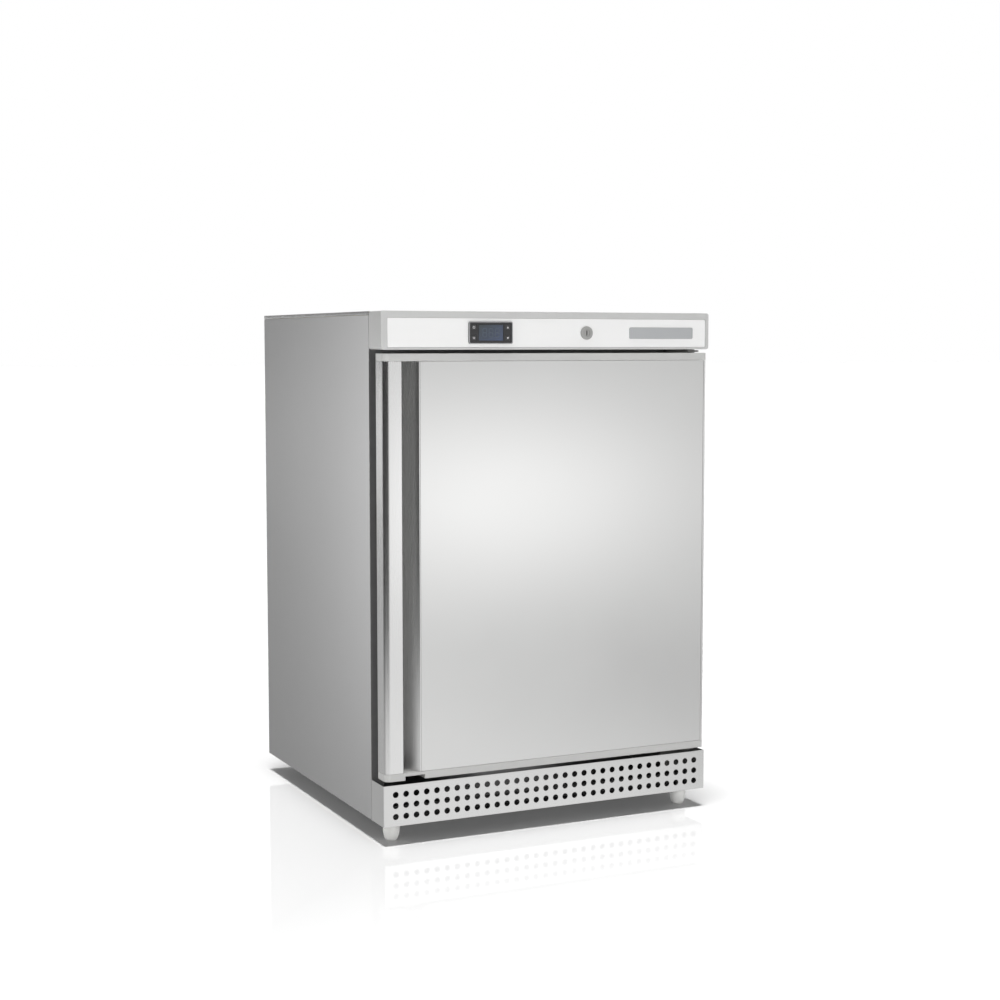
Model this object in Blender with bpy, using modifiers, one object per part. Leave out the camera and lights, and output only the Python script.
"""Undercounter refrigerator, 600 mm class, one right-hinged door.

Origin: centre of the footprint, on the floor. +Z is up and the door faces -Y.
All sizes are metres. MM turns a size in millimetres into metres.
"""

import math

import bmesh
import bpy
from mathutils import Matrix, Vector

MM = 0.001

# Driving dimensions
WIDTH = 600 * MM
DEPTH = 585 * MM
HEIGHT = 855 * MM
GROUND_CLEARANCE = 32 * MM
BEZEL_PROUD = 2.5 * MM
FACE_DEPTH = 52 * MM
GAP = 0.3 * MM
SHEET = 1 * MM

# Planes worked out from them
HALF = WIDTH / 2
BACK_Y = DEPTH / 2
FACE_Y = -DEPTH / 2 + BEZEL_PROUD
CABINET_Y = FACE_Y + FACE_DEPTH
BASE_Z = GROUND_CLEARANCE
GRILLE_TOP = 99 * MM
DOOR_BOTTOM = 105 * MM
DOOR_TOP = 788 * MM
FASCIA_BOTTOM = 794 * MM
INSIDE_HALF = HALF - SHEET - GAP

# Storage cavity
CAVITY_HALF = 252 * MM
CAVITY_BOTTOM = 145 * MM
CAVITY_TOP = 752 * MM
CAVITY_BACK = 205 * MM
STEP_Y = 60 * MM
STEP_TOP = 275 * MM
LINER = 2 * MM
FLANGE_HALF = 272 * MM
FLANGE_BOTTOM = 125 * MM
FLANGE_TOP = 772 * MM
FLANGE_FRONT = CABINET_Y - 1.5 * MM

# Rear and underside sheet
REAR_SHEET_Y = 261 * MM
BAY_ROOF_Z = 232.5 * MM
BAY_WALL_Y = 92.5 * MM
UNDERSIDE_Z = 104.5 * MM
LID_DEPTH = 6 * MM
SIDE_TOP = HEIGHT - LID_DEPTH - GAP

# Door
DOOR_HALF = 296 * MM
DOOR_THICKNESS = 33 * MM
DOOR_BACK = FACE_Y + DOOR_THICKNESS
END_CAP = 12 * MM
SKIN_LEFT = -234 * MM
SKIN_RIGHT = 291 * MM
CORNER_RADIUS = 10 * MM
HINGE_X = 275 * MM
HINGE_Y = FACE_Y + 21 * MM
HINGE_AXIS = (HINGE_X, HINGE_Y, 0)
PIN_RADIUS = 4 * MM
BORE_RADIUS = PIN_RADIUS + GAP
TRAY_HALF = 238 * MM
TRAY_BOTTOM = 160 * MM
TRAY_TOP = 738 * MM
TRAY_BACK = -225 * MM
DOOR_FLANGE_BACK = DOOR_BACK + 1.8 * MM

# Fascia
FASCIA_WALL = 2.5 * MM
LABEL_LEFT = -289 * MM
LABEL_RIGHT = 293 * MM
LABEL_BOTTOM = 798 * MM
LABEL_TOP = 844 * MM
LABEL_THICKNESS = 0.9 * MM
LABEL_Z = (LABEL_BOTTOM + LABEL_TOP) / 2
CONTROLLER_X = -111 * MM
KEY_OFFSET = (30 * MM, 8.5 * MM)
LOCK_X = 64 * MM
CAM_Y = -264.45 * MM
CAM_LENGTH = 40 * MM
STRIKE = (50 * MM, 96 * MM, CAM_Y - 6 * MM, CAM_Y + 6 * MM)
CAM_SLOT = (LOCK_X - 7 * MM, LOCK_X + 24 * MM, CAM_Y - 2.2 * MM, CAM_Y + 2.2 * MM)

# Grille
HOLE_COLUMNS = 32
HOLE_ROWS = 3
HOLE_PITCH = 18 * MM
HOLE_RADIUS = 5 * MM

# Inside
LEDGE_FIRST = 296 * MM
LEDGE_PITCH = 52 * MM
LEDGE_COUNT = 8
LEDGE_HEIGHT = 6 * MM
LEDGE_REACH = 8 * MM
SHELF_LEDGES = {"shelf_lower": 0, "shelf_middle": 3, "shelf_upper": 6}
FAN_Z = 691 * MM
FAN_RADIUS = 40 * MM

# Compressor bay and condenser
COMPRESSOR = Vector((-50 * MM, 188 * MM, 0))
CONDENSER_Y = 276 * MM
CONDENSER_HALF = 250 * MM
CONDENSER_RUNS = 11
CONDENSER_BOTTOM = 260 * MM
CONDENSER_PITCH = 56 * MM
DRIER_X = 215 * MM
DRIER_TOP = 210 * MM

# Feet
FRONT_FEET = (271 * MM, -250 * MM)
REAR_FEET = (220 * MM, 214 * MM)
FOOT_RADIUS = 14 * MM

for old in list(bpy.data.objects):
    bpy.data.objects.remove(old, do_unlink=True)

parts = bpy.data.collections.new("undercounter_refrigerator")
cutters = bpy.data.collections.new("cutters")
bpy.context.scene.collection.children.link(parts)
bpy.context.scene.collection.children.link(cutters)


def principled(name, colour, roughness, metallic=0.0, alpha=1.0):
    made = bpy.data.materials.new(name)
    made.use_nodes = True
    made.diffuse_color = (*colour, alpha)
    shader = made.node_tree.nodes["Principled BSDF"]
    shader.inputs["Base Color"].default_value = (*colour, 1)
    shader.inputs["Roughness"].default_value = roughness
    shader.inputs["Metallic"].default_value = metallic
    shader.inputs["Alpha"].default_value = alpha
    return made


STAINLESS = principled("brushed_stainless", (0.66, 0.66, 0.65), 0.3, 1.0)
SIDE_STEEL = principled("side_steel", (0.52, 0.52, 0.52), 0.4, 0.9)
GALVANISED = principled("galvanised_steel", (0.55, 0.56, 0.57), 0.5, 0.9)
ZINC = principled("zinc_plated_steel", (0.62, 0.61, 0.58), 0.35, 1.0)
ALUMINIUM = principled("satin_aluminium", (0.75, 0.75, 0.74), 0.3, 1.0)
GREY_PLASTIC = principled("grey_plastic", (0.56, 0.56, 0.56), 0.45)
WHITE_PANEL = principled("white_panel", (0.83, 0.83, 0.82), 0.35)
WHITE_PLASTIC = principled("white_plastic", (0.85, 0.85, 0.84), 0.4)
BLACK_PLASTIC = principled("black_plastic", (0.03, 0.03, 0.033), 0.4)
DISPLAY = principled("display_glass", (0.05, 0.07, 0.12), 0.1)
KEY_RUBBER = principled("key_rubber", (0.1, 0.1, 0.105), 0.55)
SEAL_RUBBER = principled("seal_rubber", (0.12, 0.12, 0.12), 0.6)
FOAM = principled("foam", (0.78, 0.70, 0.48), 0.9)
SHELF_WIRE = principled("coated_wire", (0.8, 0.8, 0.79), 0.4)
FRAME_STEEL = principled("frame_steel", (0.22, 0.22, 0.22), 0.5, 0.5)
BLACK_PAINT = principled("black_paint", (0.02, 0.02, 0.02), 0.35, 0.3)
COPPER = principled("copper", (0.72, 0.38, 0.25), 0.3, 1.0)
FOOT_PLASTIC = principled("foot_plastic", (0.68, 0.68, 0.66), 0.5)


# Shape helpers


def register(obj, colour, origin=None, group=parts):
    """Puts the object in its collection, with its origin where asked and its flat faces kept flat."""
    group.objects.link(obj)
    if colour is not None:
        obj.data.materials.append(colour)
    if origin is not None:
        obj.data.transform(Matrix.Translation(-Vector(origin)))
        obj.location = origin
    if obj.type == "MESH":
        obj.data.shade_smooth()
        obj.data.set_sharp_from_angle(angle=math.radians(30))
    return obj


def as_cutter(obj):
    obj.hide_render = True
    obj.display_type = "WIRE"
    return obj


def combine(target, other, operation):
    modifier = target.modifiers.new(operation.lower(), "BOOLEAN")
    modifier.operation = operation
    modifier.object = as_cutter(other)
    return target


def cut(target, *others):
    for other in others:
        combine(target, other, "DIFFERENCE")
    return target


def join(target, *others):
    for other in others:
        combine(target, other, "UNION")
    return target


def box(name, low, high, colour=None, origin=None):
    low, high = Vector(low), Vector(high)
    shape = bmesh.new()
    bmesh.ops.create_cube(shape, size=1)
    bmesh.ops.scale(shape, vec=high - low, verts=shape.verts)
    bmesh.ops.translate(shape, vec=(low + high) / 2, verts=shape.verts)
    mesh = bpy.data.meshes.new(name)
    shape.to_mesh(mesh)
    shape.free()
    group = parts if colour else cutters
    return register(bpy.data.objects.new(name, mesh), colour, origin, group)


TURNED_TO = {
    "X": Matrix(((0, 0, 1), (1, 0, 0), (0, 1, 0))),
    "Y": Matrix(((1, 0, 0), (0, 0, -1), (0, 1, 0))),
    "Z": Matrix.Identity(3),
}


def cylinder(name, axis, centre, start, end, radius, colour=None, origin=None, sides=24):
    """A cylinder along one axis. centre holds its other two coordinates, in X, Y, Z order."""
    shape = bmesh.new()
    bmesh.ops.create_cone(
        shape, cap_ends=True, segments=sides, radius1=radius, radius2=radius, depth=abs(end - start)
    )
    place = list(centre)
    place.insert("XYZ".index(axis), (start + end) / 2)
    bmesh.ops.transform(
        shape, matrix=Matrix.Translation(place) @ TURNED_TO[axis].to_4x4(), verts=shape.verts
    )
    mesh = bpy.data.meshes.new(name)
    shape.to_mesh(mesh)
    shape.free()
    group = parts if colour else cutters
    return register(bpy.data.objects.new(name, mesh), colour, origin, group)


def prism(name, axis, outlines, start, end, colour=None, origin=None):
    """A flat outline, with any holes after it, drawn out along an axis.

    Points are (y, z) along X, (x, z) along Y and (x, y) along Z.
    """
    curve = bpy.data.curves.new(name, "CURVE")
    curve.dimensions = "2D"
    curve.fill_mode = "BOTH"
    curve.extrude = abs(end - start) / 2
    for outline in outlines:
        spline = curve.splines.new("POLY")
        spline.points.add(len(outline) - 1)
        for point, (u, v) in zip(spline.points, outline):
            point.co = (u, v, 0, 1)
        spline.use_cyclic_u = True
    drawn = bpy.data.objects.new(name + "_outline", curve)
    bpy.context.scene.collection.objects.link(drawn)
    middle = Vector((0, 0, 0))
    middle["XYZ".index(axis)] = (start + end) / 2
    placing = Matrix.Translation(middle) @ TURNED_TO[axis].to_4x4()
    graph = bpy.context.evaluated_depsgraph_get()
    mesh = bpy.data.meshes.new_from_object(drawn.evaluated_get(graph))
    mesh.name = name
    bpy.data.objects.remove(drawn, do_unlink=True)
    mesh.transform(placing)
    shape = bmesh.new()
    shape.from_mesh(mesh)
    bmesh.ops.remove_doubles(shape, verts=shape.verts, dist=0.00001)
    bmesh.ops.recalc_face_normals(shape, faces=shape.faces)
    shape.to_mesh(mesh)
    shape.free()
    group = parts if colour else cutters
    return register(bpy.data.objects.new(name, mesh), colour, origin, group)


def shell(name, low, high, open_sides, thickness, colour):
    """A box of sheet with some sides left out, such as ("+Y", "-Z")."""
    low, high = Vector(low), Vector(high)
    shape = bmesh.new()
    bmesh.ops.create_cube(shape, size=1)
    bmesh.ops.scale(shape, vec=high - low, verts=shape.verts)
    bmesh.ops.translate(shape, vec=(low + high) / 2, verts=shape.verts)
    sides = []
    for sign, axis in open_sides:
        outward = Vector((0, 0, 0))
        outward["XYZ".index(axis)] = 1 if sign == "+" else -1
        sides.append(outward)
    gone = [face for face in shape.faces if any(face.normal.dot(side) > 0.9 for side in sides)]
    bmesh.ops.delete(shape, geom=gone, context="FACES")
    mesh = bpy.data.meshes.new(name)
    shape.to_mesh(mesh)
    shape.free()
    obj = register(bpy.data.objects.new(name, mesh), colour)
    solid = obj.modifiers.new("sheet", "SOLIDIFY")
    solid.thickness = thickness
    solid.offset = -1
    solid.use_even_offset = True
    return obj


def turned(name, profile, place, colour, origin=None, sides=24):
    """A profile of (radius, height) points, top first, turned about a vertical axis through place."""
    mesh = bpy.data.meshes.new(name)
    points = [(place[0] + radius, place[1], place[2] + height) for radius, height in profile]
    mesh.from_pydata(points, [(i, i + 1) for i in range(len(points) - 1)], [])
    obj = register(bpy.data.objects.new(name, mesh), colour, origin or place)
    screw = obj.modifiers.new("turn", "SCREW")
    screw.steps = screw.render_steps = sides
    screw.use_merge_vertices = True
    screw.merge_threshold = 0.00001
    screw.use_smooth_shade = True
    return obj


def tube(name, points, radius, colour, resolution=1):
    curve = bpy.data.curves.new(name, "CURVE")
    curve.dimensions = "3D"
    curve.bevel_depth = radius
    curve.bevel_resolution = resolution
    curve.use_fill_caps = True
    spline = curve.splines.new("POLY")
    spline.points.add(len(points) - 1)
    for point, place in zip(spline.points, points):
        point.co = (*place, 1)
    return register(bpy.data.objects.new(name, curve), colour)


def arc(centre, radius, first, last, steps):
    """Points on an arc, from one angle to another, in degrees."""
    turns = [math.radians(first + (last - first) * i / steps) for i in range(steps + 1)]
    return [(centre[0] + radius * math.cos(t), centre[1] + radius * math.sin(t)) for t in turns]


def rectangle(left, right, bottom, top, radius=0.0, steps=3):
    if radius == 0:
        return [(left, bottom), (right, bottom), (right, top), (left, top)]
    inner_left, inner_right = left + radius, right - radius
    inner_bottom, inner_top = bottom + radius, top - radius
    centres = (
        (inner_right, inner_top),
        (inner_left, inner_top),
        (inner_left, inner_bottom),
        (inner_right, inner_bottom),
    )
    outline = []
    for turn, centre in enumerate(centres):
        outline += arc(centre, radius, 90 * turn, 90 * turn + 90, steps)
    return outline


def disc(x, y, radius, sides):
    return arc((x, y), radius, 0, 360 - 360 / sides, sides - 1)


def bent_strip(path, thickness):
    """The outline of a strip of sheet whose middle follows path, with mitred bends."""
    left, right = [], []
    points = [Vector(point) for point in path]
    for i, point in enumerate(points):
        before = (point - points[i - 1]).normalized() if i > 0 else None
        after = (points[i + 1] - point).normalized() if i < len(points) - 1 else None
        before, after = before or after, after or before
        across = Vector((-(before + after).y, (before + after).x)).normalized()
        reach = thickness / 2 / across.dot(Vector((-before.y, before.x)))
        left.append(tuple(point + across * reach))
        right.append(tuple(point - across * reach))
    return left + right[::-1]


# Cabinet


def side_panels():
    front = CABINET_Y + SHEET + GAP
    rear_fold = HALF - 15 * MM
    for name, side in (("side_panel_left", -1), ("side_panel_right", 1)):
        outline = [
            (side * HALF, front),
            (side * (HALF - SHEET), front),
            (side * (HALF - SHEET), BACK_Y - SHEET),
            (side * rear_fold, BACK_Y - SHEET),
            (side * rear_fold, BACK_Y),
            (side * HALF, BACK_Y),
        ]
        prism(name, "Z", [outline], BASE_Z, SIDE_TOP, SIDE_STEEL)


def top_panel():
    low = (-HALF, CABINET_Y + SHEET + GAP, HEIGHT - LID_DEPTH)
    shell("top_panel", low, (HALF, BACK_Y, HEIGHT), ("-Y", "-Z"), SHEET, STAINLESS)


def back_panel():
    path = [
        (REAR_SHEET_Y, SIDE_TOP),
        (REAR_SHEET_Y, BAY_ROOF_Z),
        (BAY_WALL_Y, BAY_ROOF_Z),
        (BAY_WALL_Y, UNDERSIDE_Z),
        (CABINET_Y + SHEET + 2 * GAP, UNDERSIDE_Z),
    ]
    prism("back_panel", "X", [bent_strip(path, SHEET)], -INSIDE_HALF, INSIDE_HALF, GALVANISED)


def base_tray():
    sheet = 1.2 * MM
    floor = BASE_Z + sheet / 2
    front = CABINET_Y + SHEET + GAP + sheet / 2
    rear = BACK_Y - SHEET - GAP - sheet / 2
    lip = BASE_Z + 18 * MM
    path = [(front, lip), (front, floor), (rear, floor), (rear, lip)]
    tray = prism("base_tray", "X", [bent_strip(path, sheet)], -INSIDE_HALF, INSIDE_HALF, FRAME_STEEL)
    drill_for_stems(tray, REAR_FEET)


def drill_for_stems(sheet, places):
    x, y = places
    for side in (-1, 1):
        cut(sheet, cylinder("stem_hole", "Z", (side * x, y), 0, 2 * BASE_Z, BORE_RADIUS, sides=12))


def front_frame():
    margin = LINER + 2 * GAP
    windows = [
        rectangle(-CAVITY_HALF - margin, CAVITY_HALF + margin, CAVITY_BOTTOM - margin, CAVITY_TOP + margin),
        rectangle(-HALF + 22 * MM, HALF - 22 * MM, BASE_Z + 4 * MM, GRILLE_TOP - MM),
    ]
    outline = rectangle(-HALF, HALF, BASE_Z, SIDE_TOP)
    prism("front_frame", "Y", [outline, *windows], CABINET_Y, CABINET_Y + SHEET, FRAME_STEEL)


def cavity_outline(front, grow):
    """The storage cavity's section in (y, z), with its step over the compressor bay."""
    return [
        (front, CAVITY_BOTTOM - grow),
        (STEP_Y + grow, CAVITY_BOTTOM - grow),
        (STEP_Y + grow, STEP_TOP - grow),
        (CAVITY_BACK + grow, STEP_TOP - grow),
        (CAVITY_BACK + grow, CAVITY_TOP + grow),
        (front, CAVITY_TOP + grow),
    ]


def insulation():
    front = CABINET_Y + SHEET + GAP
    outline = [
        (front, UNDERSIDE_Z + SHEET / 2 + GAP),
        (BAY_WALL_Y - SHEET / 2 - GAP, UNDERSIDE_Z + SHEET / 2 + GAP),
        (BAY_WALL_Y - SHEET / 2 - GAP, BAY_ROOF_Z + SHEET / 2 + GAP),
        (REAR_SHEET_Y - SHEET / 2 - GAP, BAY_ROOF_Z + SHEET / 2 + GAP),
        (REAR_SHEET_Y - SHEET / 2 - GAP, HEIGHT - SHEET - GAP),
        (front, HEIGHT - SHEET - GAP),
    ]
    foam = prism("foam_insulation", "X", [outline], -INSIDE_HALF, INSIDE_HALF, FOAM)
    grow = LINER + GAP
    half = CAVITY_HALF + grow
    cut(foam, prism("foam_hollow", "X", [cavity_outline(front - 10 * MM, grow)], -half, half))
    back = CAVITY_BACK + grow
    cut(foam, box("evaporator_pocket", (-213 * MM, back - MM, 326 * MM), (213 * MM, back + 6 * MM, 704 * MM)))


def inner_liner():
    half = CAVITY_HALF + LINER
    outline = cavity_outline(FLANGE_FRONT + 0.6 * MM, LINER)
    liner = prism("inner_liner", "X", [outline], -half, half, WHITE_PLASTIC)
    flange_low = (-FLANGE_HALF, FLANGE_FRONT, FLANGE_BOTTOM)
    flange_high = (FLANGE_HALF, CABINET_Y - GAP, FLANGE_TOP)
    join(liner, box("liner_flange", flange_low, flange_high))
    hollow = cavity_outline(FLANGE_FRONT - 10 * MM, 0)
    cut(liner, prism("liner_hollow", "X", [hollow], -CAVITY_HALF, CAVITY_HALF))
    for name, side in (("ledges_left", -1), ("ledges_right", 1)):
        inner, outer = CAVITY_HALF - LEDGE_REACH, CAVITY_HALF + LINER / 2
        low = (min(side * inner, side * outer), -200 * MM, LEDGE_FIRST)
        high = (max(side * inner, side * outer), 200 * MM, LEDGE_FIRST + LEDGE_HEIGHT)
        ledges = box(name, low, high)
        repeat = ledges.modifiers.new("rows", "ARRAY")
        repeat.count = LEDGE_COUNT
        repeat.use_relative_offset = False
        repeat.use_constant_offset = True
        repeat.constant_offset_displace = (0, 0, LEDGE_PITCH)
        join(liner, ledges)


# Fascia, controller and lock


def fascia():
    outline = rectangle(-HALF, HALF, FASCIA_BOTTOM, HEIGHT, 4 * MM)
    wall = FASCIA_WALL
    inner = rectangle(-HALF + wall, HALF - wall, FASCIA_BOTTOM + wall, HEIGHT - wall, 2 * MM)
    housing = prism("fascia_housing", "Y", [outline], FACE_Y, CABINET_Y - GAP, STAINLESS)
    cut(housing, prism("fascia_hollow", "Y", [inner], FACE_Y + wall, CABINET_Y + 10 * MM))
    recess = rectangle(LABEL_LEFT - GAP, LABEL_RIGHT + GAP, LABEL_BOTTOM - GAP, LABEL_TOP + GAP, 2 * MM)
    cut(housing, prism("label_recess", "Y", [recess], FACE_Y - 5 * MM, FACE_Y + LABEL_THICKNESS + GAP))
    window = around(CONTROLLER_X, LABEL_Z, 35.5 * MM, 14.5 * MM, 0)
    cut(housing, prism("controller_window", "Y", [window], FACE_Y - 5 * MM, FACE_Y + 5 * MM))
    cut(housing, cylinder("lock_hole", "Y", (LOCK_X, LABEL_Z), FACE_Y - 5 * MM, FACE_Y + 5 * MM, 9 * MM))
    below, above = FASCIA_BOTTOM - 5 * MM, FASCIA_BOTTOM + wall + MM
    slot_low = (LOCK_X - 7 * MM, CAM_Y - 2.5 * MM, below)
    cut(housing, box("cam_slot", slot_low, (LOCK_X + 34 * MM, CAM_Y + 2.5 * MM, above)))
    notch_low = (HINGE_X - 36.5 * MM, CABINET_Y - 3.5 * MM, below)
    cut(housing, box("hinge_notch", notch_low, (HINGE_X + 17.5 * MM, CABINET_Y + 5 * MM, above)))

    label = rectangle(LABEL_LEFT, LABEL_RIGHT, LABEL_BOTTOM, LABEL_TOP, 2 * MM)
    window = around(CONTROLLER_X, LABEL_Z, 35.8 * MM, 14.8 * MM, 0)
    hole = disc(LOCK_X, LABEL_Z, 9.3 * MM, 24)
    prism("fascia_panel", "Y", [label, window, hole], FACE_Y, FACE_Y + LABEL_THICKNESS, WHITE_PANEL)


def key_places():
    right, up = KEY_OFFSET
    return {
        "button_set": (CONTROLLER_X - right, LABEL_Z + up),
        "button_defrost": (CONTROLLER_X - right, LABEL_Z - up),
        "button_up": (CONTROLLER_X + right, LABEL_Z + up),
        "button_down": (CONTROLLER_X + right, LABEL_Z - up),
    }


def around(x, z, half_width, half_height, radius):
    return rectangle(x - half_width, x + half_width, z - half_height, z + half_height, radius)


def controller():
    front = FACE_Y - BEZEL_PROUD
    outline = around(CONTROLLER_X, LABEL_Z, 39 * MM, 18 * MM, 3 * MM)
    window = around(CONTROLLER_X, LABEL_Z, 22 * MM, 13 * MM, MM)
    keys = [around(x, z, 4.55 * MM, 4.05 * MM, MM) for x, z in key_places().values()]
    prism("controller_bezel", "Y", [outline, window, *keys], front, FACE_Y - GAP, BLACK_PLASTIC)
    window = around(CONTROLLER_X, LABEL_Z, 22 * MM - GAP, 13 * MM - GAP, MM)
    prism("display_lens", "Y", [window], front + 0.4 * MM, FACE_Y - GAP, DISPLAY)
    low = (CONTROLLER_X - 35.2 * MM, FACE_Y + 1.5 * MM, LABEL_Z - 14.2 * MM)
    high = (CONTROLLER_X + 35.2 * MM, CABINET_Y - 6 * MM, LABEL_Z + 14.2 * MM)
    box("controller_body", low, high, BLACK_PLASTIC)
    for name, (x, z) in key_places().items():
        cap = around(x, z, 4.25 * MM, 3.75 * MM, MM)
        prism(name, "Y", [cap], front + 0.2 * MM, FACE_Y - GAP, KEY_RUBBER, (x, front, z))


def lock():
    place = (LOCK_X, LABEL_Z)
    axis = (LOCK_X, FACE_Y, LABEL_Z)
    barrel_end = FACE_Y + 22 * MM
    housing = cylinder("lock_housing", "Y", place, FACE_Y - 2 * MM, FACE_Y - GAP, 11 * MM, ZINC)
    join(housing, cylinder("lock_barrel", "Y", place, FACE_Y - MM, barrel_end, 8.7 * MM))
    cut(housing, cylinder("plug_bore", "Y", place, FACE_Y - 9 * MM, barrel_end + 9 * MM, 5.8 * MM))
    cam_half = 1.25 * MM
    plug = cylinder("lock_plug", "Y", place, FACE_Y - 1.6 * MM, CAM_Y - cam_half - GAP, 5.5 * MM, ZINC, axis)
    stud = 3 * MM
    stud_low = (LOCK_X - stud, CAM_Y - cam_half - 5 * MM, LABEL_Z - stud)
    join(plug, box("plug_stud", stud_low, (LOCK_X + stud, CAM_Y + cam_half + 1.5 * MM, LABEL_Z + stud)))
    slot_low = (LOCK_X - 0.9 * MM, FACE_Y - 5 * MM, LABEL_Z - 3.8 * MM)
    cut(plug, box("key_slot", slot_low, (LOCK_X + 0.9 * MM, FACE_Y + 3 * MM, LABEL_Z + 3.8 * MM)))
    half_width = 6 * MM
    tongue = [(LOCK_X + CAM_LENGTH, LABEL_Z - half_width), (LOCK_X + CAM_LENGTH, LABEL_Z + half_width)]
    tongue += arc((LOCK_X, LABEL_Z), half_width, 90, 270, 6)
    square = around(LOCK_X, LABEL_Z, stud + GAP, stud + GAP, 0)
    prism("lock_cam", "Y", [tongue, square], CAM_Y - cam_half, CAM_Y + cam_half, ZINC, axis)
    nut = disc(LOCK_X, LABEL_Z, 13.5 * MM, 6)
    bore = disc(LOCK_X, LABEL_Z, 8.7 * MM + GAP, 24)
    behind = FACE_Y + FASCIA_WALL + GAP
    prism("lock_nut", "Y", [nut, bore], behind, behind + 4 * MM, ZINC)


def grille():
    sheet = 1.2 * MM
    last = HOLE_COLUMNS - 1
    rows = [(BASE_Z + GRILLE_TOP) / 2 + HOLE_PITCH * (row - 1) for row in range(HOLE_ROWS)]
    columns = [HOLE_PITCH * (column - last / 2) for column in range(HOLE_COLUMNS)]
    holes = [disc(x, z, HOLE_RADIUS, 8) for x in columns for z in rows]
    outline = rectangle(-HALF, HALF, BASE_Z, GRILLE_TOP)
    plate = prism("front_grille", "Y", [outline, *holes], FACE_Y, FACE_Y + sheet, STAINLESS)
    near, far = FACE_Y + sheet / 2, CABINET_Y - GAP
    for name, side in (("grille_end_left", -1), ("grille_end_right", 1)):
        inner, outer = sorted((side * (HALF - sheet), side * HALF))
        join(plate, box(name, (inner, near, BASE_Z), (outer, far, GRILLE_TOP)))
    inner = HALF - sheet / 2
    join(plate, box("grille_return", (-inner, near, BASE_Z), (inner, far, BASE_Z + sheet)))
    drill_for_stems(plate, FRONT_FEET)


# Door and hinges


def hinge_hardware():
    leg_front, leg_back = CABINET_Y - 3 * MM, CABINET_Y - GAP
    left, right = HINGE_X - 35 * MM, HINGE_X + 16 * MM
    near = HINGE_Y - 11 * MM
    plate = [(left, leg_back), (left, leg_front - 12 * MM)]
    plate += [(HINGE_X - 9 * MM, near), (HINGE_X + 9 * MM, near)]
    plate += [(right, near + 7 * MM), (right, leg_back)]
    levels = {
        "upper": (DOOR_TOP, FASCIA_BOTTOM, DOOR_TOP + 1.5 * MM, DOOR_TOP + 47 * MM),
        "lower": (GRILLE_TOP, DOOR_BOTTOM, DOOR_BOTTOM - 1.5 * MM, GRILLE_TOP - 44 * MM),
    }
    for level, (below, above, plate_near, leg_end) in levels.items():
        up = 1 if level == "upper" else -1
        plate_far = plate_near + up * 3 * MM
        bottom, top = sorted((plate_near, plate_far))
        bracket = prism(level + "_hinge_bracket", "Z", [plate], bottom, top, ZINC)
        leg_z = sorted((plate_near, leg_end))
        join(bracket, box(level + "_leg", (left, leg_front, leg_z[0]), (right, leg_back, leg_z[1])))
        collar = cylinder(level + "_collar", "Z", (HINGE_X, HINGE_Y), below + GAP, above - GAP, 9 * MM)
        join(bracket, collar)
        through = (below - 9 * MM, above + 9 * MM)
        cut(bracket, cylinder(level + "_pin_hole", "Z", (HINGE_X, HINGE_Y), *through, BORE_RADIUS))
        inside = DOOR_TOP - 19 * MM if up > 0 else DOOR_BOTTOM + 19 * MM
        head = above - GAP if up > 0 else below + GAP
        cylinder(level + "_hinge_pin", "Z", (HINGE_X, HINGE_Y), inside, head, PIN_RADIUS, ZINC)


def end_cap_outline():
    """Square to the back, a wide round at the handle corner and a small one at the hinge corner."""
    small = 3 * MM
    outline = [(DOOR_HALF, DOOR_BACK), (-DOOR_HALF, DOOR_BACK)]
    outline += arc((-DOOR_HALF + CORNER_RADIUS, FACE_Y + CORNER_RADIUS), CORNER_RADIUS, 180, 270, 6)
    outline += arc((DOOR_HALF - small, FACE_Y + small), small, 270, 360, 3)
    return outline


def door_end_caps():
    bush = 11.5 * MM
    levels = {"door_top_cap": (DOOR_TOP, -1), "door_bottom_cap": (DOOR_BOTTOM, 1)}
    for name, (edge, inward) in levels.items():
        inner = edge + inward * END_CAP
        bottom, top = sorted((edge, inner))
        cap = prism(name, "Z", [end_cap_outline()], bottom, top, GREY_PLASTIC, HINGE_AXIS)
        boss_z = sorted((inner - inward * MM, inner + inward * 12 * MM))
        low = (HINGE_X - bush, HINGE_Y - bush, boss_z[0])
        join(cap, box(name + "_boss", low, (HINGE_X + bush, HINGE_Y + bush - 1.5 * MM, boss_z[1])))
        bore_z = sorted((edge - inward * 5 * MM, edge + inward * 20 * MM))
        cut(cap, cylinder(name + "_bore", "Z", (HINGE_X, HINGE_Y), *bore_z, BORE_RADIUS))
        if inward < 0:
            strike_seat(cap)
        else:
            low = (-262 * MM, FACE_Y - MM, DOOR_BOTTOM - MM)
            cut(cap, box("recess_drain", low, (-228 * MM, FACE_Y + 24 * MM, DOOR_BOTTOM + 7 * MM)))


def strike_seat(cap):
    left, right, front, back = STRIKE
    seat_low = (left - GAP, front - GAP, DOOR_TOP - 1.8 * MM)
    cut(cap, box("strike_seat", seat_low, (right + GAP, back + GAP, DOOR_TOP + MM)))
    left, right, front, back = CAM_SLOT
    cut(cap, box("strike_pocket", (left, front, DOOR_TOP - END_CAP - MM), (right, back, DOOR_TOP + MM)))


def lock_strike():
    outlines = [rectangle(*STRIKE), rectangle(*CAM_SLOT)]
    prism("lock_strike", "Z", outlines, DOOR_TOP - 1.5 * MM, DOOR_TOP, ZINC, HINGE_AXIS)


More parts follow.
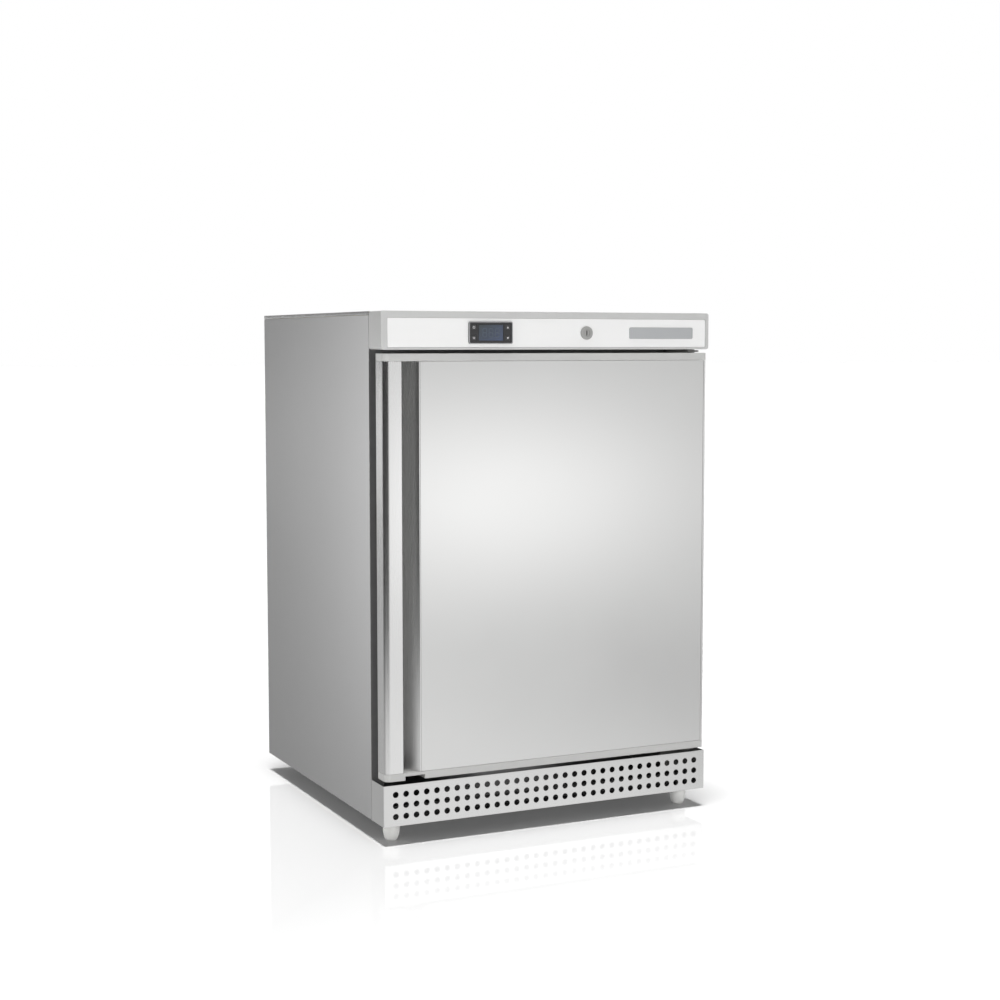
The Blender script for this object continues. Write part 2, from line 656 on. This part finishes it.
def handle_outline():
    """A C section: rounded corner, grip bar with a rounded lip, and a recess that ramps up to the skin."""
    floor = DOOR_BACK - 3 * MM
    wall = 3 * MM
    lip = 1.5 * MM
    bar_end = -265 * MM
    edge = SKIN_LEFT - GAP
    corner = (-DOOR_HALF + CORNER_RADIUS, FACE_Y + CORNER_RADIUS)
    ramp_start = Vector((-268 * MM, floor))
    ramp_end = Vector((edge - 1.5 * MM, FACE_Y))
    ramp = [ramp_start.lerp(ramp_end, i / 6) for i in range(7)]
    bowl = 2.2 * MM
    across = Vector((ramp_start.y - ramp_end.y, ramp_end.x - ramp_start.x)).normalized()
    ramp = [p + across * bowl * (1 - (2 * i / 6 - 1) ** 2) for i, p in enumerate(ramp)]
    outline = [(edge, FACE_Y)] + [tuple(p) for p in reversed(ramp)]
    outline += arc((-DOOR_HALF + wall + 5 * MM, floor - 5 * MM), 5 * MM, 90, 180, 3)
    outline += arc(corner, CORNER_RADIUS - wall, 180, 270, 4)
    outline[-1] = (corner[0], FACE_Y + wall)
    outline += arc((bar_end - lip, FACE_Y + lip), lip, 90, -90, 4)
    outline += arc(corner, CORNER_RADIUS, 270, 180, 6)
    outline += [(-DOOR_HALF, DOOR_BACK), (-266 * MM, DOOR_BACK), (edge, FACE_Y + 4 * MM)]
    return outline


def door_front():
    bottom, top = DOOR_BOTTOM + END_CAP + GAP, DOOR_TOP - END_CAP - GAP
    prism("door_handle", "Z", [handle_outline()], bottom, top, ALUMINIUM, HINGE_AXIS)
    fold = FACE_Y + 28 * MM
    middle = SHEET / 2
    path = [
        (SKIN_LEFT + middle, fold),
        (SKIN_LEFT + middle, FACE_Y + middle),
        (SKIN_RIGHT - middle, FACE_Y + middle),
        (SKIN_RIGHT - middle, fold),
    ]
    prism("door_skin", "Z", [bent_strip(path, SHEET)], bottom, top, STAINLESS, HINGE_AXIS)
    small = 3 * MM
    bead = [(SKIN_RIGHT + GAP, FACE_Y)]
    bead += arc((DOOR_HALF - small, FACE_Y + small), small, 270, 360, 3)
    bead += [(DOOR_HALF, DOOR_BACK), (SKIN_RIGHT + GAP, DOOR_BACK)]
    prism("door_edge_profile", "Z", [bead], bottom, top, ALUMINIUM, HINGE_AXIS)


def door_inside():
    wall = LINER + GAP
    front, back = FACE_Y + SHEET + GAP, DOOR_BACK - GAP
    bottom, top = DOOR_BOTTOM + END_CAP + 2 * GAP, DOOR_TOP - END_CAP - 2 * GAP
    left, right = SKIN_LEFT + SHEET + GAP, SKIN_RIGHT - SHEET - GAP
    foam = box("door_foam", (left, front, bottom), (right, back, top), FOAM, HINGE_AXIS)
    low = (-TRAY_HALF + wall, back - MM, TRAY_BOTTOM + wall)
    join(foam, box("foam_block", low, (TRAY_HALF - wall, TRAY_BACK - wall, TRAY_TOP - wall)))
    pocket = 12.5 * MM
    for name, low_z, high_z in (
        ("upper_pocket", top - pocket, top + MM), ("lower_pocket", bottom - MM, bottom + pocket)
    ):
        cut(foam, box(name, (HINGE_X - 13 * MM, front - MM, low_z), (right + MM, back + MM, high_z)))

    flange_low = (-DOOR_HALF + 6 * MM, DOOR_BACK + GAP, DOOR_BOTTOM + 6 * MM)
    flange_high = (DOOR_HALF - 6 * MM, DOOR_FLANGE_BACK, DOOR_TOP - 6 * MM)
    liner = box("door_liner", flange_low, flange_high, WHITE_PLASTIC, HINGE_AXIS)
    low = (-TRAY_HALF, DOOR_BACK + MM, TRAY_BOTTOM)
    join(liner, box("liner_tray", low, (TRAY_HALF, TRAY_BACK, TRAY_TOP)))
    low = (-TRAY_HALF + LINER, DOOR_BACK - MM, TRAY_BOTTOM + LINER)
    cut(liner, box("liner_tray_hollow", low, (TRAY_HALF - LINER, TRAY_BACK - LINER, TRAY_TOP - LINER)))

    inset = 2 * MM
    seal = 20 * MM
    outer = rectangle(
        -FLANGE_HALF + inset, FLANGE_HALF - inset, FLANGE_BOTTOM + inset, FLANGE_TOP - inset, 6 * MM
    )
    grow = inset + seal
    inner = rectangle(
        -FLANGE_HALF + grow, FLANGE_HALF - grow, FLANGE_BOTTOM + grow, FLANGE_TOP - grow, 3 * MM
    )
    front, back = DOOR_FLANGE_BACK + GAP, FLANGE_FRONT - GAP
    prism("door_gasket", "Y", [outer, inner], front, back, SEAL_RUBBER, HINGE_AXIS)


# Inside the cavity


def shelves():
    half = 249 * MM
    front, back = -215 * MM, 195 * MM
    bar, pitch, count = 4 * MM, 26 * MM, 18
    first = -pitch * (count - 1) / 2
    slot, rim = (pitch - bar) / 2, 6 * MM
    middles = [first + pitch * i for i in range(count)]
    slots = [rectangle(x - slot, x + slot, front + rim, back - rim) for x in middles]
    for name, ledge in SHELF_LEDGES.items():
        bottom = LEDGE_FIRST + LEDGE_HEIGHT + LEDGE_PITCH * ledge + GAP
        prism(name, "Z", [rectangle(-half, half, front, back), *slots], bottom, bottom + 5 * MM, SHELF_WIRE)


def fan_unit():
    wall_y = CAVITY_BACK - GAP
    front = wall_y - 40 * MM
    low, high = (-85 * MM, front, 640 * MM), (85 * MM, wall_y, 742 * MM)
    housing = shell("fan_housing", low, high, ("+Y",), 2 * MM, WHITE_PLASTIC)
    place = (0, FAN_Z)
    cut(housing, cylinder("fan_mouth", "Y", place, front - 9 * MM, front + 9 * MM, 44 * MM, sides=32))
    spokes = []
    for ring in range(3):
        inner, outer = (14 + 11 * ring) * MM, (23 + 11 * ring) * MM
        for quarter in range(4):
            start = 90 * quarter + 8
            opening = arc((0, FAN_Z), outer, start, start + 74, 5)
            spokes.append(opening + arc((0, FAN_Z), inner, start + 74, start, 5))
    guard = disc(0, FAN_Z, FAN_RADIUS + 9 * MM, 32)
    prism("fan_guard", "Y", [guard, *spokes], front - 2.5 * MM - GAP, front - GAP, WHITE_PLASTIC)
    cylinder("fan_motor", "Y", place, wall_y - 16 * MM, wall_y, 18 * MM, BLACK_PLASTIC)
    hub_front, hub_back = wall_y - 34 * MM, wall_y - 17 * MM
    blade_y = (hub_front + hub_back) / 2
    centre = (0, blade_y, FAN_Z)
    rotor = cylinder("fan_blade", "Y", place, hub_front, hub_back, 12 * MM, BLACK_PLASTIC, centre)
    for i in range(5):
        blade = box("blade", (-10 * MM, -0.8 * MM, 8 * MM), (10 * MM, 0.8 * MM, FAN_RADIUS))
        spin = Matrix.Rotation(math.tau * i / 5, 4, "Y")
        pitch = Matrix.Rotation(math.radians(28), 4, "Z")
        blade.matrix_world = Matrix.Translation(centre) @ spin @ pitch
        join(rotor, blade)


def evaporator():
    front = CAVITY_BACK + LINER + GAP
    low, high = (-210 * MM, front, 330 * MM), (210 * MM, front + 1.5 * MM, 700 * MM)
    plate = box("evaporator_plate", low, high, ALUMINIUM)
    run = box("evaporator_run", (-195 * MM, front + MM, 345 * MM), (195 * MM, front + 4.5 * MM, 353 * MM))
    repeat = run.modifiers.new("runs", "ARRAY")
    repeat.count = 7
    repeat.use_relative_offset = False
    repeat.use_constant_offset = True
    repeat.constant_offset_displace = (0, 0, 55 * MM)
    join(plate, run)
    probe = Vector((150 * MM, CAVITY_BACK - 7 * MM, 520 * MM))
    radius = 3 * MM
    profile = [(0, 43 * MM)] + [(radius * math.sin(t), 40 * MM + radius * math.cos(t)) for t in (0.5, 1.05)]
    profile += [(radius, 40 * MM), (radius, 0), (radius * 0.7, -2 * MM), (0, -3 * MM)]
    turned("temperature_probe", profile, probe, ZINC, sides=12)


# Compressor bay and condenser


def compressor_set():
    sheet = 2 * MM
    floor = BASE_Z + 1.2 * MM + GAP
    deck = floor + 16 * MM
    path = [(118 * MM, floor), (118 * MM, deck), (258 * MM, deck), (258 * MM, floor)]
    prism("compressor_rail", "X", [bent_strip(path, sheet)], -INSIDE_HALF, INSIDE_HALF, GALVANISED)

    radius, seam = 72 * MM, 132 * MM
    profile = [(0, 199 * MM)]
    profile += [(radius * math.sin(t), seam + 67 * MM * math.cos(t)) for t in (0.45, 0.8, 1.1, 1.35)]
    profile += [(radius, seam + 4 * MM), (radius + 2.5 * MM, seam + 3 * MM)]
    profile += [(radius + 2.5 * MM, seam - 3 * MM), (radius, seam - 4 * MM)]
    profile += [(radius * math.cos(t), seam - 71 * MM * math.sin(t)) for t in (0.5, 0.9, 1.2)]
    profile += [(0, 61 * MM)]
    shape = turned("compressor", profile, COMPRESSOR, BLACK_PAINT)
    shape.scale = (1.25, 1, 1)
    plate_low = (COMPRESSOR.x - 105 * MM, COMPRESSOR.y - 65 * MM, 60 * MM)
    plate_high = (COMPRESSOR.x + 105 * MM, COMPRESSOR.y + 65 * MM, 63 * MM)
    join(shape, box("compressor_feet", plate_low, plate_high))

    x = COMPRESSOR.x + 1.25 * (radius + 2.5 * MM) + GAP
    low = (x, COMPRESSOR.y - 23 * MM, 100 * MM)
    box("relay_cover", low, (x + 30 * MM, COMPRESSOR.y + 23 * MM, 150 * MM), BLACK_PLASTIC)
    tray_low = (COMPRESSOR.x - 80 * MM, COMPRESSOR.y - 60 * MM, 203 * MM)
    tray_high = (COMPRESSOR.x + 80 * MM, COMPRESSOR.y + 60 * MM, 222 * MM)
    shell("evaporation_tray", tray_low, tray_high, ("+Z",), 1.5 * MM, BLACK_PLASTIC)

    box_low = (-270 * MM, 205 * MM, 60 * MM)
    box_high = (-200 * MM, 268 * MM, 110 * MM)
    box("terminal_box", box_low, box_high, BLACK_PLASTIC)
    place = (-235 * MM, 85 * MM)
    gland = cylinder("mains_gland", "Y", place, 268 * MM + GAP, 274 * MM, 10 * MM, BLACK_PLASTIC, sides=6)
    join(gland, cylinder("gland_nose", "Y", place, 272 * MM, 288 * MM, 8 * MM))
    cut(gland, cylinder("gland_bore", "Y", place, 260 * MM, 300 * MM, 3.6 * MM))


def rounded_path(corners, radius, steps=3):
    """A polyline through corners, each inner corner replaced by a short curve."""
    points = [Vector(corner) for corner in corners]
    path = [points[0]]
    for before, corner, after in zip(points, points[1:], points[2:]):
        start = corner + (before - corner).normalized() * radius
        end = corner + (after - corner).normalized() * radius
        for i in range(steps + 1):
            t = i / steps
            path.append(start * (1 - t) ** 2 + corner * 2 * t * (1 - t) + end * t**2)
    return path + [points[-1]]


def condenser():
    y = CONDENSER_Y
    top = CONDENSER_BOTTOM + CONDENSER_PITCH * (CONDENSER_RUNS - 1)
    corners = [(-CONDENSER_HALF - 12 * MM, y, 215 * MM), (-CONDENSER_HALF - 12 * MM, y, top)]
    for run in range(CONDENSER_RUNS):
        z = top - CONDENSER_PITCH * run
        end = CONDENSER_HALF if run % 2 == 0 else -CONDENSER_HALF
        if run > 0:
            corners.append((-end, y, z))
        corners.append((end, y, z))
    corners[-1] = (DRIER_X, y, CONDENSER_BOTTOM)
    corners.append((DRIER_X, y, DRIER_TOP + GAP))
    tube("condenser_coil", rounded_path(corners, 22 * MM), 2.5 * MM, BLACK_PAINT)

    rear = REAR_SHEET_Y + SHEET / 2 + GAP
    for name, x in (("condenser_bracket_left", -200 * MM), ("condenser_bracket_right", 200 * MM)):
        half = 8 * MM
        near, far = rear + SHEET / 2, y - 2.5 * MM - 2 * GAP
        path = [(x - half, far), (x - half, near), (x + half, near), (x + half, far)]
        prism(name, "Z", [bent_strip(path, SHEET)], 240 * MM, 840 * MM, BLACK_PAINT)

    radius = 11 * MM
    body = DRIER_TOP - 100 * MM
    profile = [(0, 100 * MM), (3.5 * MM, 100 * MM), (3.5 * MM, 92 * MM), (radius, 82 * MM), (radius, 18 * MM)]
    profile += [(3 * MM, 8 * MM), (3 * MM, 0), (0, 0)]
    turned("filter_drier", profile, (DRIER_X, y, body), COPPER, sides=16)

    corners = [(-80 * MM, 262 * MM, 125 * MM), (-80 * MM, y, 125 * MM), (-262 * MM, y, 128 * MM)]
    corners.append((-262 * MM, y, 215 * MM - GAP))
    tube("discharge_tube", rounded_path(corners, 10 * MM), 3 * MM, COPPER)
    roof = BAY_ROOF_Z - SHEET / 2 - GAP
    corners = [(-146 * MM, 188 * MM, 120 * MM), (-185 * MM, 188 * MM, 120 * MM), (-185 * MM, 188 * MM, roof)]
    tube("suction_tube", rounded_path(corners, 15 * MM), 4 * MM, COPPER)


def feet():
    neck = 4 * MM
    top = BASE_Z - GAP
    dome = top - 8 * MM
    profile = [(0, top + 14 * MM), (neck, top + 14 * MM), (neck, top)]
    profile += [(FOOT_RADIUS, top), (FOOT_RADIUS, dome)]
    for t in (0.35, 0.7, 1.05, 1.3):
        profile.append((7 * MM + 7 * MM * math.cos(t), dome * (1 - math.sin(t) / math.sin(1.3))))
    profile.append((0, 0))
    for row, (x, y) in (("front", FRONT_FEET), ("rear", REAR_FEET)):
        turned(f"foot_{row}_left", profile, (-x, y, 0), FOOT_PLASTIC, sides=20)
        turned(f"foot_{row}_right", profile, (x, y, 0), FOOT_PLASTIC, sides=20)


side_panels()
top_panel()
back_panel()
base_tray()
front_frame()
insulation()
inner_liner()
fascia()
controller()
lock()
grille()
hinge_hardware()
door_end_caps()
lock_strike()
door_front()
door_inside()
shelves()
fan_unit()
evaporator()
compressor_set()
condenser()
feet()
